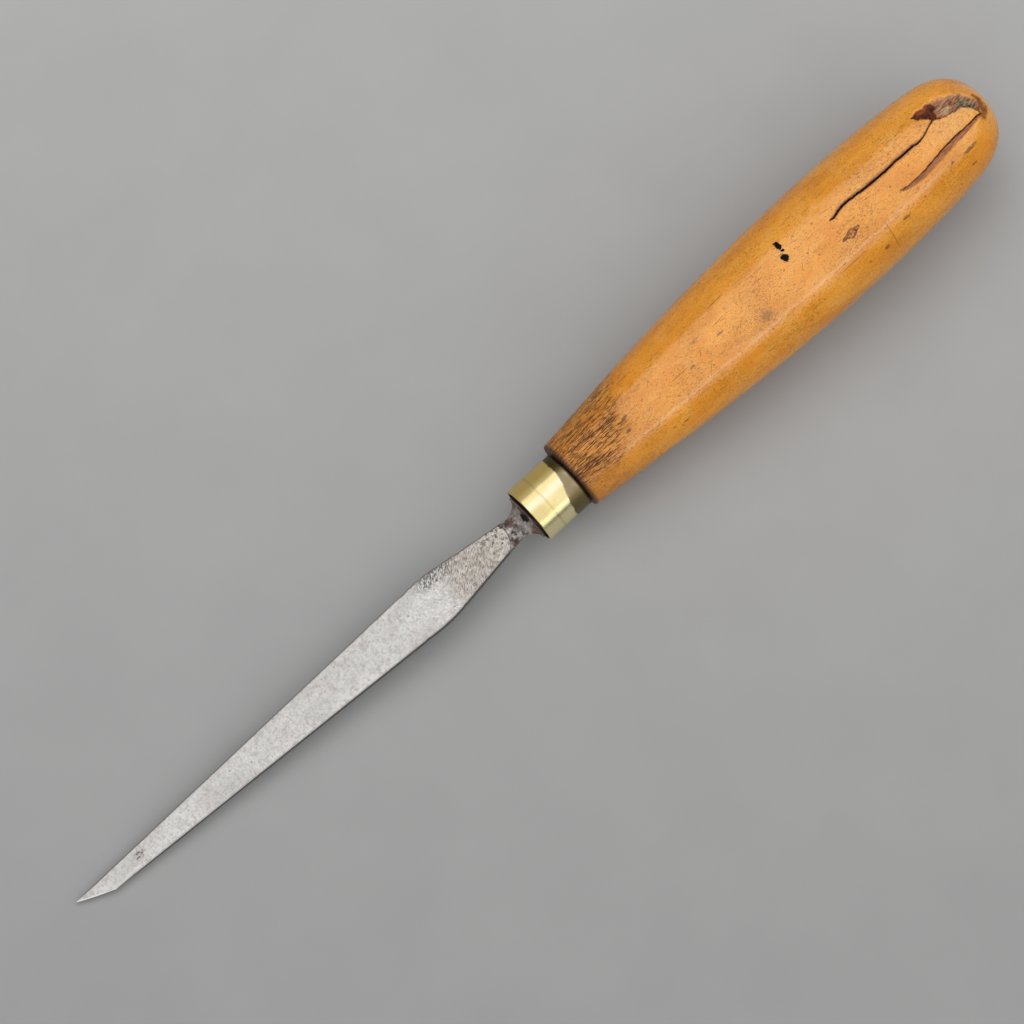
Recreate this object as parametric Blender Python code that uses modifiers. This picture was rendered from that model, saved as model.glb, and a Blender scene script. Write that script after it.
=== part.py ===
"""Carving chisel with a skew-ground point: a forged steel blade, a brass ferrule and a turned boxwood handle.

The tool is modelled along its own axis, cutting end towards -X and butt towards +X, with the handle's
shoulder at x = 0 and the blade's broad faces level. It is then laid on the bench, the plane z = 0, where it
rests on the handle's belly and on the blade's end, with the origin below the middle of its box.
"""

import math

import bmesh
import bpy
import numpy as np
from mathutils import Matrix, Vector
from mathutils.geometry import interpolate_bezier

MM = 0.001

# Fits between the pieces
SEAT_GAP = 0.3 * MM  # left between two pieces that touch on the real tool
BOLSTER_GAP = 0.4 * MM  # left all round the bolster in the ferrule's mouth

# Handle, along the axis from its shoulder
HANDLE_LENGTH = 122.0 * MM
SHOULDER_DIAMETER = 17.2 * MM
SHOULDER_ROUND = 0.9 * MM  # radius turned on the shoulder's corner
SHOULDER_SLOPE = math.radians(6.2)  # rise of the taper where it leaves the shoulder
BELLY_DIAMETER = 28.1 * MM
BELLY_PLACE = 75.5 * MM  # from the shoulder to the thickest place
BUTT_DIAMETER = 24.5 * MM  # where the round end begins
BUTT_LENGTH = 11.6 * MM  # length of the round end
BUTT_SLOPE = math.radians(7.0)  # fall of the barrel where the round end begins
BUTT_SIDE_PULL = 0.55  # share of the round end's length over which its side keeps that slope
BUTT_CROWN_PULL = 0.64  # share of its radius over which its crown stays square to the axis
BARREL_OFFSET = 0.45 * MM  # the barrel's axis lies this far to the left of the spigot's and the blade's
SPIGOT_CHAMFER = 0.5 * MM
SPIGOT_SINK = 3.0 * MM  # length of spigot inside the barrel

# Ferrule, a short brass tube pressed over the handle's spigot
FERRULE_LENGTH = 12.0 * MM
FERRULE_DIAMETER = 13.7 * MM
FERRULE_WALL = 0.9 * MM
FERRULE_EDGE = 0.2 * MM  # chamfer on its four rims
FERRULE_LIP = 2.0 * MM  # its length past the end of the wood

# Blade, one forging from the point to the end of the tang; lengths run from the ferrule's mouth
BLADE_LENGTH = 126.0 * MM
BLADE_WIDTH = 11.3 * MM  # across the shoulders, the widest place
BLADE_SHOULDER = 28.2 * MM  # to the widest place
SHOULDER_BEND = 7.0 * MM  # length over which each shoulder's corner is rounded
END_WIDTH = 3.9 * MM  # at the heel of the skew edge
SKEW_LENGTH = 8.4 * MM  # from the heel to the point, along the blade
FLAT_END = 6.3 * MM  # to the end of the ground flats, beside the neck
FLAT_END_WIDTH = 5.6 * MM
FLAT_END_ROUND = 2.2 * MM  # reach of the rounding on the flats' two end corners
ROOT_THICKNESS = 3.4 * MM  # at the end of the flats
POINT_THICKNESS = 1.4 * MM  # at the point, before it is ground
GRIND_ANGLE = math.radians(25.0)  # of the bevel under the skew edge
EDGE_LAND = 0.15 * MM  # blunt face left along the cutting edge
BLADE_CANT = math.radians(1.2)  # lean of the flat, from its end by the neck, to the left of the tang's axis

# Neck, bolster and tang of the same forging
NECK_DIAMETER = 5.5 * MM  # across the blade's width
NECK_HEIGHT = 3.2 * MM  # through the blade's thickness
NECK_ROOT = 6.0 * MM  # length of tapered neck sunk in the end of the flats
NECK_LENGTH = 1.3 * MM  # from the flats to the hollow flare
BOLSTER_THICKNESS = 1.5 * MM
TANG_LENGTH = 58.0 * MM  # from the bolster's seat
TANG_ROOT = 4.8 * MM  # side of the square tang at the bolster
TANG_TIP = 2.2 * MM
TANG_SINK = 0.8 * MM  # length of tang inside the bolster
MOUTH_CUT = 2.0 * MM  # how far the socket's cutter stands out of the wood

# Facets
HANDLE_SIDES = 40
FERRULE_SIDES = 48
NECK_SIDES = 36
CURVE_STEPS = 10  # chords in each turned or rounded curve

# Places on the axis, and sizes, that several pieces share
FERRULE_MOUTH = -SEAT_GAP - FERRULE_LENGTH
WOOD_END = FERRULE_MOUTH + FERRULE_LIP
BOLSTER_SEAT = WOOD_END - SEAT_GAP
BOLSTER_FRONT = BOLSTER_SEAT - BOLSTER_THICKNESS
FERRULE_BORE = FERRULE_DIAMETER - 2 * FERRULE_WALL
BOLSTER_RADIUS = FERRULE_BORE / 2 - BOLSTER_GAP
POINT_PLACE = FERRULE_MOUTH - BLADE_LENGTH
FLAT_END_PLACE = FERRULE_MOUTH - FLAT_END

# Finishes: base colour, roughness, metallic
STEEL = ((0.56, 0.55, 0.54, 1.0), 0.38, 1.0)
BRASS = ((0.78, 0.62, 0.25, 1.0), 0.22, 1.0)
BOXWOOD = ((0.74, 0.37, 0.08, 1.0), 0.42, 0.0)
CRISP_ANGLE = math.radians(35.0)  # edges sharper than this aren't shaded smooth

STEEPEST_REST = math.radians(30.0)  # upper limit when the resting slope is searched for
REST_HALVINGS = 40
WELD = 0.001 * MM  # points nearer than this are one point


def clear_scene():
    """Removes every object that the file opened with."""
    for thing in list(bpy.data.objects):
        bpy.data.objects.remove(thing, do_unlink=True)


def new_collection(name):
    """A collection linked to the scene."""
    collection = bpy.data.collections.new(name)
    bpy.context.scene.collection.children.link(collection)
    return collection


def new_material(name, finish):
    """A Principled material of one colour, roughness and metallic value."""
    colour, roughness, metallic = finish
    material = bpy.data.materials.new(name)
    material.use_nodes = True
    shader = material.node_tree.nodes["Principled BSDF"]
    shader.inputs["Base Color"].default_value = colour
    shader.inputs["Roughness"].default_value = roughness
    shader.inputs["Metallic"].default_value = metallic
    material.diffuse_color = colour
    return material


def new_object(name, mesh, collection):
    """An object that holds the mesh, in the collection."""
    thing = bpy.data.objects.new(name, mesh)
    collection.objects.link(thing)
    return thing


def make_helper(thing):
    """Marks an object as a cutter or joiner: it shapes another piece and isn't one itself."""
    thing.hide_render = True
    thing.display_type = "WIRE"


def bezier(start, start_pull, end_pull, end):
    """Points along one Bezier curve, its first point left out."""
    knots = [Vector(point) for point in (start, start_pull, end_pull, end)]
    return [tuple(point) for point in interpolate_bezier(*knots, CURVE_STEPS + 1)[1:]]


def combine(thing, other, operation):
    """Joins the other object's solid to this one, or cuts it away."""
    step = thing.modifiers.new(other.name, "BOOLEAN")
    step.operation = operation
    step.object = other


def make_real(thing):
    """Gives the object the mesh that its modifiers make, shaded smooth between its crisp edges."""
    graph = bpy.context.evaluated_depsgraph_get()
    mesh = bpy.data.meshes.new_from_object(thing.evaluated_get(graph))
    mesh.shade_smooth()
    mesh.set_sharp_from_angle(angle=CRISP_ANGLE)
    thing.modifiers.clear()
    thing.data = mesh


def turned(name, profile, sides, collection, closed=False):
    """A solid turned about the X axis from (place, radius) points, listed from the cutting end.

    A closed profile makes a ring. Half a facet of turn puts a flat, not an edge, at the lowest place."""
    mesh = bpy.data.meshes.new(name)
    links = [(i + 1, i) for i in range(len(profile) - 1)]
    if closed:
        links.append((0, len(profile) - 1))
    mesh.from_pydata([(place, 0.0, radius) for place, radius in profile], links, [])
    mesh.transform(Matrix.Rotation(math.pi / sides, 4, "X"))
    thing = new_object(name, mesh, collection)
    screw = thing.modifiers.new("turn", "SCREW")
    screw.axis = "X"
    screw.steps = sides
    screw.render_steps = sides
    screw.use_merge_vertices = True
    screw.merge_threshold = WELD
    make_real(thing)
    return thing


def barrel_profile():
    """The barrel's outline: rounded shoulder, swelling taper, belly and round butt."""
    shoulder = SHOULDER_DIAMETER / 2
    belly = (BELLY_PLACE, BELLY_DIAMETER / 2)
    butt = (HANDLE_LENGTH - BUTT_LENGTH, BUTT_DIAMETER / 2)
    corner = (SHOULDER_ROUND, shoulder + SHOULDER_ROUND * math.tan(SHOULDER_SLOPE))

    points = [(0.0, 0.0), (0.0, shoulder - SHOULDER_ROUND)]
    points += bezier(points[-1], (0.0, shoulder), (0.0, shoulder), corner)

    third = (belly[0] - corner[0]) / 3
    rise = third * math.tan(SHOULDER_SLOPE)
    points += bezier(corner, (corner[0] + third, corner[1] + rise), (belly[0] - third, belly[1]), belly)

    third = (butt[0] - belly[0]) / 3
    rise = third * math.tan(BUTT_SLOPE)
    points += bezier(belly, (belly[0] + third, belly[1]), (butt[0] - third, butt[1] + rise), butt)

    reach = BUTT_SIDE_PULL * BUTT_LENGTH
    fall = reach * math.tan(BUTT_SLOPE)
    crown = (HANDLE_LENGTH, BUTT_CROWN_PULL * butt[1])
    points += bezier(butt, (butt[0] + reach, butt[1] - fall), crown, (HANDLE_LENGTH, 0.0))
    return points


def make_spigot(cutters):
    """The thin end of the handle, which fills the ferrule and stops short of its mouth."""
    radius = FERRULE_BORE / 2 - SEAT_GAP
    profile = [
        (WOOD_END, 0.0),
        (WOOD_END, radius - SPIGOT_CHAMFER),
        (WOOD_END + SPIGOT_CHAMFER, radius),
        (SPIGOT_SINK, radius),
        (SPIGOT_SINK, 0.0),
    ]
    spigot = turned("spigot_joiner", profile, HANDLE_SIDES, cutters)
    make_helper(spigot)
    return spigot


def make_handle(collection, cutters):
    """The turned barrel with its spigot, and a tapered square socket for the tang through both."""
    handle = turned("handle", barrel_profile(), HANDLE_SIDES, collection)
    handle.data.transform(Matrix.Translation((0.0, BARREL_OFFSET, 0.0)))
    combine(handle, make_spigot(cutters), "UNION")
    combine(handle, make_socket(cutters), "DIFFERENCE")
    return handle


def make_ferrule(collection):
    """The brass tube round the spigot, chamfered on its four rims."""
    outer = FERRULE_DIAMETER / 2
    inner = FERRULE_BORE / 2
    rear = -SEAT_GAP
    profile = [
        (FERRULE_MOUTH, inner + FERRULE_EDGE),
        (FERRULE_MOUTH, outer - FERRULE_EDGE),
        (FERRULE_MOUTH + FERRULE_EDGE, outer),
        (rear - FERRULE_EDGE, outer),
        (rear, outer - FERRULE_EDGE),
        (rear, inner + FERRULE_EDGE),
        (rear - FERRULE_EDGE, inner),
        (FERRULE_MOUTH + FERRULE_EDGE, inner),
    ]
    return turned("ferrule", profile, FERRULE_SIDES, collection, closed=True)


def rounded_corner(before, corner, after, reach):
    """A corner of a flat outline as a curve that starts and ends the given reach along its two sides."""
    corner = Vector(corner)
    start = corner + (Vector(before) - corner).normalized() * reach
    end = corner + (Vector(after) - corner).normalized() * reach
    middle_pull = (start + 2 * corner) / 3, (end + 2 * corner) / 3
    return [tuple(start)] + bezier(start, *middle_pull, end)


def skew_edge():
    """The skew's point and heel, before the blade is canted. The point ends the left edge's straight taper."""
    shoulder_place = FERRULE_MOUTH - BLADE_SHOULDER
    heel = (POINT_PLACE + SKEW_LENGTH, -END_WIDTH / 2)
    taper = (BLADE_WIDTH - END_WIDTH) / 2 / (shoulder_place - heel[0])
    point = (POINT_PLACE, END_WIDTH / 2 - taper * SKEW_LENGTH)
    return point, heel


def flat_outline():
    """The blade's broad face seen from above: skew end, straight edges, rounded shoulders and flat end."""
    point, heel = skew_edge()
    shoulder = (FERRULE_MOUTH - BLADE_SHOULDER, BLADE_WIDTH / 2)
    end = (FLAT_END_PLACE, FLAT_END_WIDTH / 2)
    low_shoulder = (shoulder[0], -shoulder[1])
    low_end = (end[0], -end[1])
    return [
        point,
        heel,
        *rounded_corner(heel, low_shoulder, low_end, SHOULDER_BEND / 2),
        *rounded_corner(low_shoulder, low_end, end, FLAT_END_ROUND),
        *rounded_corner(low_end, end, shoulder, FLAT_END_ROUND),
        *rounded_corner(end, shoulder, point, SHOULDER_BEND / 2),
    ]


def flat_thickness(place):
    """The forging's thickness at a place on the axis, tapering evenly from the neck to the point."""
    share = (place - POINT_PLACE) / (FLAT_END_PLACE - POINT_PLACE)
    return POINT_THICKNESS + (ROOT_THICKNESS - POINT_THICKNESS) * share


def solid_from_curve(thing, collection):
    """The curve object's solid as a mesh object of the same name, with its caps welded on."""
    graph = bpy.context.evaluated_depsgraph_get()
    mesh = bpy.data.meshes.new_from_object(thing.evaluated_get(graph))
    shape = bmesh.new()
    shape.from_mesh(mesh)
    bmesh.ops.remove_doubles(shape, verts=shape.verts, dist=WELD)
    shape.to_mesh(mesh)
    shape.free()
    name = thing.name
    place = thing.matrix_world.copy()
    bpy.data.objects.remove(thing)
    solid = new_object(name, mesh, collection)
    solid.matrix_world = place
    return solid


def grind_bevel(mesh):
    """Grinds the underside away behind the skew edge, down to a narrow land under the upper face."""
    point, heel = (Vector((*end, flat_thickness(end[0]) / 2 - EDGE_LAND)) for end in skew_edge())
    along = (heel - point).normalized()
    outward = along.cross(Vector((0.0, 0.0, 1.0))).normalized()
    down = along.cross(outward)
    normal = outward * math.sin(GRIND_ANGLE) + down * math.cos(GRIND_ANGLE)
    shape = bmesh.new()
    shape.from_mesh(mesh)
    everything = shape.verts[:] + shape.edges[:] + shape.faces[:]
    cut = bmesh.ops.bisect_plane(shape, geom=everything, plane_co=point, plane_no=normal, clear_outer=True)
    rim = [piece for piece in cut["geom_cut"] if isinstance(piece, bmesh.types.BMEdge)]
    bmesh.ops.contextual_create(shape, geom=rim)
    bmesh.ops.recalc_face_normals(shape, faces=shape.faces)
    shape.to_mesh(mesh)
    shape.free()


def make_flat(collection):
    """The blade's flat: its outline given thickness, drawn out thinner to the point and ground to an edge."""
    curve = bpy.data.curves.new("blade", "CURVE")
    curve.dimensions = "2D"
    curve.fill_mode = "BOTH"
    curve.extrude = ROOT_THICKNESS / 2
    outline = flat_outline()
    spline = curve.splines.new("POLY")
    spline.points.add(len(outline) - 1)
    for knot, (x, y) in zip(spline.points, outline):
        knot.co = (x, y, 0.0, 1.0)
    spline.use_cyclic_u = True
    flat = solid_from_curve(new_object("blade", curve, collection), collection)
    for vertex in flat.data.vertices:
        vertex.co.z *= flat_thickness(vertex.co.x) / ROOT_THICKNESS
    grind_bevel(flat.data)
    pivot = Matrix.Translation((FLAT_END_PLACE, 0.0, 0.0))
    flat.data.transform(pivot @ Matrix.Rotation(-BLADE_CANT, 4, "Z") @ pivot.inverted())
    return flat


def make_neck(cutters):
    """The neck, sunk in the end of the flats, and its hollow flare, a quarter ellipse, out to the bolster."""
    neck = NECK_DIAMETER / 2
    flare_start = FLAT_END_PLACE + NECK_LENGTH
    flare_length = BOLSTER_FRONT - flare_start
    profile = [(FLAT_END_PLACE - NECK_ROOT, 0.0), (FLAT_END_PLACE - FLAT_END_ROUND, neck), (flare_start, neck)]
    for step in range(1, CURVE_STEPS + 1):
        turn = math.pi / 2 * step / CURVE_STEPS
        radius = BOLSTER_RADIUS - (BOLSTER_RADIUS - neck) * math.cos(turn)
        profile.append((flare_start + flare_length * math.sin(turn), radius))
    profile += [(BOLSTER_SEAT, BOLSTER_RADIUS), (BOLSTER_SEAT, 0.0)]
    forging = turned("neck_joiner", profile, NECK_SIDES, cutters)
    make_helper(forging)
    return forging


def flatten_neck(mesh):
    """Draws the neck down through its thickness, less and less along the flare to the bolster's round rim."""
    for vertex in mesh.vertices:
        radius = math.hypot(vertex.co.y, vertex.co.z)
        share = min((BOLSTER_RADIUS - radius) / (BOLSTER_RADIUS - NECK_DIAMETER / 2), 1.0)
        vertex.co.z *= 1 + (NECK_HEIGHT / NECK_DIAMETER - 1) * share


def square_spike(name, start, end, start_side, end_side, cutters):
    """A square spike along the axis, its sides level and upright, from one place and side to another."""
    place = Matrix.Translation(((start + end) / 2, 0.0, 0.0))
    shape = bmesh.new()
    bmesh.ops.create_cone(
        shape,
        segments=4,
        radius1=start_side / math.sqrt(2),
        radius2=end_side / math.sqrt(2),
        depth=end - start,
        cap_ends=True,
        matrix=place @ Matrix.Rotation(math.pi / 2, 4, "Y") @ Matrix.Rotation(math.pi / 4, 4, "Z"),
    )
    mesh = bpy.data.meshes.new(name)
    shape.to_mesh(mesh)
    shape.free()
    spike = new_object(name, mesh, cutters)
    make_helper(spike)
    return spike


def tang_side(place):
    """The tang's side at a place on the axis, tapering evenly from the bolster's seat."""
    return TANG_ROOT + (TANG_TIP - TANG_ROOT) * (place - BOLSTER_SEAT) / TANG_LENGTH


def make_tang(cutters):
    """The square tang, sunk a little in the bolster."""
    start = BOLSTER_SEAT - TANG_SINK
    end = BOLSTER_SEAT + TANG_LENGTH
    return square_spike("tang_joiner", start, end, tang_side(start), TANG_TIP, cutters)


def make_socket(cutters):
    """The cutter for the tang's socket: the tang with a gap all round and at its end."""
    start = WOOD_END - MOUTH_CUT
    end = BOLSTER_SEAT + TANG_LENGTH + SEAT_GAP
    sides = [tang_side(place) + 2 * SEAT_GAP for place in (start, end)]
    return square_spike("socket_cutter", start, end, *sides, cutters)


def make_blade(collection, cutters):
    """The whole forging: flat, neck, bolster and tang in one solid."""
    blade = make_flat(collection)
    turned_neck = make_neck(cutters)
    flatten_neck(turned_neck.data)
    combine(blade, turned_neck, "UNION")
    combine(blade, make_tang(cutters), "UNION")
    return blade


def mesh_points(thing):
    """The object's points, as its modifiers leave them, on the tool's own axes."""
    evaluated = thing.evaluated_get(bpy.context.evaluated_depsgraph_get())
    mesh = evaluated.to_mesh()
    points = np.empty(len(mesh.vertices) * 3, np.float32)
    mesh.vertices.foreach_get("co", points)
    evaluated.to_mesh_clear()
    return points.reshape(-1, 3).astype(float)


def lowered(points, slope):
    """The points with the tool's cutting end lowered by the slope."""
    turn = np.array(Matrix.Rotation(-slope, 3, "Y"))
    return points @ turn.T


def lay_on_bench(root, blade, handle, ferrule):
    """Lowers the cutting end until blade and handle both touch the bench, and centres the tool's box."""
    blade_points = mesh_points(blade)
    handle_points = mesh_points(handle)
    level = 0.0
    steep = STEEPEST_REST
    for _ in range(REST_HALVINGS):
        slope = (level + steep) / 2
        if lowered(blade_points, slope)[:, 2].min() > lowered(handle_points, slope)[:, 2].min():
            level = slope
        else:
            steep = slope
    everything = lowered(np.vstack([blade_points, handle_points, mesh_points(ferrule)]), slope)
    low, high = everything.min(axis=0), everything.max(axis=0)
    root.rotation_euler = (0.0, -slope, 0.0)
    root.location = (-(low[0] + high[0]) / 2, -(low[1] + high[1]) / 2, -low[2])


def main():
    clear_scene()
    tool = new_collection("carving_chisel")
    cutters = new_collection("cutters")

    handle = make_handle(tool, cutters)
    ferrule = make_ferrule(tool)
    blade = make_blade(tool, cutters)
    finishes = ((blade, "steel", STEEL), (ferrule, "brass", BRASS), (handle, "boxwood", BOXWOOD))
    for piece, name, finish in finishes:
        piece.data.materials.append(new_material(name, finish))

    root = bpy.data.objects.new("tool_axis", None)
    tool.objects.link(root)
    bpy.context.view_layer.update()
    lay_on_bench(root, blade, handle, ferrule)
    for thing in list(tool.objects) + list(cutters.objects):
        if thing is not root:
            thing.parent = root


main()
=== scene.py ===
"""Looks of the carving chisel: its blade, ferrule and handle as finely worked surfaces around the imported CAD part.

Shapes are worked out in millimetres on the tool's own axes (x from the cutting point to the butt, zero at the
handle's shoulder, y to the left, z up from the blade's broad face) and then laid where the CAD part lies.
"""

import math

import bpy
import numpy as np
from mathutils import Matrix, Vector


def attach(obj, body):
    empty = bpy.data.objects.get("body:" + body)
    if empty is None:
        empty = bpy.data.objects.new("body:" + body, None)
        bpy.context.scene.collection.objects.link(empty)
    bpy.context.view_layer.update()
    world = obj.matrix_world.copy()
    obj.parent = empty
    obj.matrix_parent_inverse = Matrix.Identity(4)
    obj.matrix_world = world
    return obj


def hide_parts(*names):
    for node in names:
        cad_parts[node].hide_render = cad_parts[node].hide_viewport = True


MM = 0.001

# Where the CAD part lies: its axis rises from the point to the butt
TOOL_SLOPE = math.radians(3.924)
TOOL_PLACE = (8.125, -0.45, 9.749)

# Handle
BARREL_OFFSET = 0.45
HANDLE_LENGTH = 122.0
SHOULDER_RADIUS = 8.6
SHOULDER_ROUND = 0.9
SHOULDER_SLOPE = math.tan(math.radians(6.2))
BELLY = (75.5, 14.05)
BUTT = (110.4, 12.25)
BUTT_SLOPE = math.tan(math.radians(7.0))
BUTT_PULLS = (6.4, 7.84)
BUTT_CAP = 119.0
SPIGOT_RADIUS = 5.65
SPIGOT_CHAMFER = 0.5
WOOD_END = -10.3
SOCKET_END = (47.7, 1.4)
SOCKET_MOUTH = 2.68
# How the barrel differs from a true turning: place, loss on either side and lean to the right
BARREL_WEAR = (
    (0, 0.29, -0.03), (22, 0.33, -0.05), (56, 0.38, 0.13), (72, 0.36, 0.16), (90, 0.24, 0.14),
    (109, 0.14, 0.1), (122, 0, 0),
)
HANDLE_COLUMNS = 236
TOP_CROWDING = 0.4
SHOULDER_ROW = 0.12
COARSE_ROW = 0.45
FINE_ROW = 0.24
FINE_FROM = 78.0
CUTS_FROM = 72.0

# Marks worked into the handle: place along the axis, turn from the top in degrees to the left, then half-widths
CRACK = (
    (76.2, 2.5), (77.2, 1.8), (79.2, 4.5), (81.4, 5.0), (83.9, 4.5), (86.4, 2.9), (89.3, 2.4), (92.2, 2.1),
    (94.9, 2.7), (97.8, 2.4), (100.3, 2.1), (101.5, 0.9), (103.8, 2.7), (105.9, 6.3), (107.6, 8.6),
)
CRACK_WIDTHS = (0.1, 0.24, 0.3, 0.31, 0.3, 0.3, 0.33, 0.3, 0.27, 0.31, 0.27, 0.2, 0.13, 0.12, 0.16)
# How far the lip and painted shade reach beside the crack, as a multiple of its half-widths
CRACK_HALO = 3.2
SPLIT = (
    (91.8, -20.8), (93.9, -22.7), (97.3, -23.3), (101.1, -21.9), (105.1, -19.5), (108.8, -19.1), (112.3, -19.9),
    (115.7, -20.3), (117.1, -22.2),
)
SPLIT_WIDTHS = (0.08, 0.12, 0.15, 0.17, 0.17, 0.18, 0.2, 0.22, 0.18)
FURROW_WIDTHS = (0.6, 1.0, 1.4, 1.8, 2.1, 2.0, 1.6, 1.1, 0.5)
CHIP = (((105.0, 24.5), (106.8, 20.0), (108.3, 14.5)), ((105.4, 25.0), (107.4, 23.5), (109.2, 22.0)))
CHIP_WIDTHS = (0.5, 1.2, 1.5)
HOLLOW = ((107.6, 8.6), (109.3, 6.4), (111.7, 3.8), (114.5, 0.0), (116.4, -9.1), (117.0, -19.6))
HOLLOW_WIDTHS = (2.2, 4.8, 5.0, 4.3, 3.3, 1.6)
BRINK_WIDTHS = (0.2, 0.26, 0.3, 0.3, 0.28, 0.2)
# Half-widths of the lip and painted shade along the hollow's brink
BRINK_HALO = (0.6, 0.8, 0.8, 0.7, 0.5)
BLUSH = ((118.4, 8.0), (119.0, -8.0), (118.3, -22.0), (116.8, -27.0))
BLUSH_WIDTHS = (1.0, 2.4, 3.0, 2.0)
DENT = ((75.3, -19.2), (77.5, -19.1), (79.9, -18.7))
DENT_WIDTHS = (0.3, 1.35, 0.3)
STAIN = ((-0.2, -15.2), (2.4, -16.4), (4.7, -19.1), (7.4, -22.5), (9.0, -24.2))
STAIN_WIDTHS = (1.1, 1.3, 1.2, 0.9, 0.3)
STREAK = ((3.0, 16.0), (4.2, 15.1), (8.0, 10.8), (11.5, 8.4), (14.6, 6.9), (15.6, 6.0))
STREAK_WIDTHS = (0.3, 0.45, 0.5, 0.55, 0.6, 0.3)
DEPTHS = {"crack": 0.85, "chip": 0.75, "hollow": 1.15, "split": 0.7, "furrow": 0.4, "dent": 0.34}
LIP_HEIGHT = 0.12
# Small dings at random: how many, the seed, and the ranges of place, size and depth
DINGS = (70, 31, (14, 116), (0.6, 1.7), (0.03, 0.12))

# Layers of noise that rumple a surface: height, spacing and seed
SWAY = ((1.0, 1.8, 0), (0.5, 0.8, 1))
TEAR = ((0.45, 1.5, 14), (0.22, 0.6, 17))
TORN = ((0.24, (1.1, 0.5, 0.5), 21),)
UNEVEN = ((0.05, 14.0, 23), (0.02, (7.0, 2.5, 2.5), 24))
FERRULE_WAVES = ((0.012, 5.0, 41), (0.006, 1.8, 42))
BLADE_WAVES = ((0.015, 6.0, 61), (0.006, (0.8, 1.6, 1.6), 62))
HAMMERED = ((0.07, 1.3, 71), (0.05, 0.6, 72))

# Painted marks on the handle: place, arc and half-sizes, or a scratch's turn, length, width, share and shift
WRAP_RADIUS = 13.0
HANDLE_SCRATCHES = (
    (0.06, 4.4, 0.14, 0.025), (0.85, 3.0, 0.12, 0.012, (2, 1, 4)),
    (-0.2, 2.2, 0.14, 0.02, (5, 3, 1)),
)
TICKS = (
    (0.0, 3.4, 0.28, 0.85), (0.02, 2.6, 0.3, 0.75, (1.7, 0.5, 3.0)), (-0.02, 4.6, 0.26, 0.7, (0.6, 2.1, 5.0)),
    (0.01, 1.9, 0.25, 0.75, (2.6, 1.1, 7.0)),
)
HANDLE_BRUISES = (
    (82.4, -12.2, 0.7, 0.5), (89.4, -9.9, 1.0, 0.35), (109.8, -8.9, 2.1, 0.5),
    (25.5, -12.8, 0.7, 0.25), (109.0, -13.0, 0.8, 0.3), (42.7, -1.3, 0.9, 0.25),
    (72.5, -8.1, 0.4, 0.2), (22.8, -12.0, 0.4, 0.25), (33.6, -2.7, 0.7, 0.3),
    (14.8, -3.9, 0.5, 0.45), (15.9, -0.4, 0.8, 0.4), (15.3, 11.7, 1.9, 0.7),
    (104.7, -8.3, 0.5, 0.3),
)
INK = ((64.5, 4.0, 0.6, 1.2), (63.7, 1.05, 0.85, 0.9), (64.5, 2.5, 0.4, 0.3))
# Dots on the handle: the lattice's scale and shift, a dot's radius and the share of cells that hold one
HANDLE_DOTS = (
    ((1.5, 1.9), (2, 5, 3), 0.22, 0.3), ((0.62, 0.75), (1, 2, 6), 0.18, 0.26),
    ((1.7, 2.9), (4, 7, 2), 0.27, 0.3),
)
LONG_SCRATCHES = (
    (79.6, 10.9, 2.9, 0.09), (73.8, -9.2, 3.7, 0.08), (46.6, 4.8, 2.4, 0.1),
    (37.6, 1.5, 1.6, 0.08), (30.5, -2.0, 2.5, 0.08), (84.8, -10.8, 0.1, 3.7),
)
DASH_RADIUS = 0.42

# Rust on the blade's neck: place, side and half-sizes
NECK_RUST = (
    (-16.5, 1.7, 1.3, 1.0), (-12.6, -3.8, 1.2, 1.8), (-18.6, -2.2, 0.8, 0.8),
    (-13.7, 4.0, 0.9, 1.2), (-13.6, -4.0, 0.9, 1.6), (-13.1, 1.4, 0.3, 1.6),
)

# Depths of the bumps in metres
WOOD_BUMP = 0.00012
BRASS_BUMP = 0.000012
STEEL_BUMP = 0.00003

# Ferrule
FERRULE_MOUTH = -12.3
FERRULE_REAR = -0.3
FERRULE_RADIUS = 6.85
FERRULE_BORE = 5.95
FERRULE_EDGE = 0.22
FERRULE_COLUMNS = 192
BORE_FADE = 0.3
BRASS_RING = -8.0

# Blade
POINT = -138.3
HEEL = -129.9
EDGE_MIDDLE = (POINT + HEEL) / 2
BLADE_SHOULDER = -38.7
SHOULDER_BEND = 3.5
FLAT_END = -18.6
FLAT_END_CROWN = 1.9
FLAT_END_ROUND = 0.93
FLAT_END_LEAN = 0.7
BLADE_HALF = 5.72
END_HALF = 1.95
FLAT_END_HALF = 2.8
POINT_THICKNESS = 1.4
ROOT_THICKNESS = 3.4
EDGE_LAND = 0.15
EDGE_BOW = 0.75
GRIND = math.tan(math.radians(25.0))
SKEW_LEAN = 0.389
BLADE_CANT = math.radians(1.55)
CANT_RUN = 20.0
BLADE_SHIFT = -0.4
SHIFT_RUN = 24.0
EDGE_ROUND = 0.24
THIN_ROUND = 0.45
HONED = (0.35, 0.9)
# Nicks in the edges: spacing, the least noise that cuts, depth, seed, and where they begin and end
NICKS = (0.9, 0.45, 0.25, 51)
NICKS_BEGIN = (-52, -44)
NICKS_END = (-24, -20)
SIDES_APART = 9.0
# Neck, bolster and tang; the step down from the flat lists reach and drop
STEP_DOWN = ((0.1, 0.05), (0.2, 0.16), (0.32, 0.27), (0.48, 0.32))
NECK_HALF = 2.7
NECK_RISE = 1.42
NECK_ROUND = 0.98
FORGED = (FLAT_END - 1.2, FLAT_END + 0.4)
FLARE_START = -17.1
FLARE_END = -12.9
FORGED_END = (FLARE_END - 0.4, FLARE_END)
BOLSTER_LAND = 0.3
BOLSTER_SEAT = -10.6
BOLSTER_RADIUS = 5.53
BOLSTER_EDGE = 0.2
TANG_ROOT = 2.4
TANG_ROUND = 0.1
TANG_TIP = 1.1
TANG_END = 47.4

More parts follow.
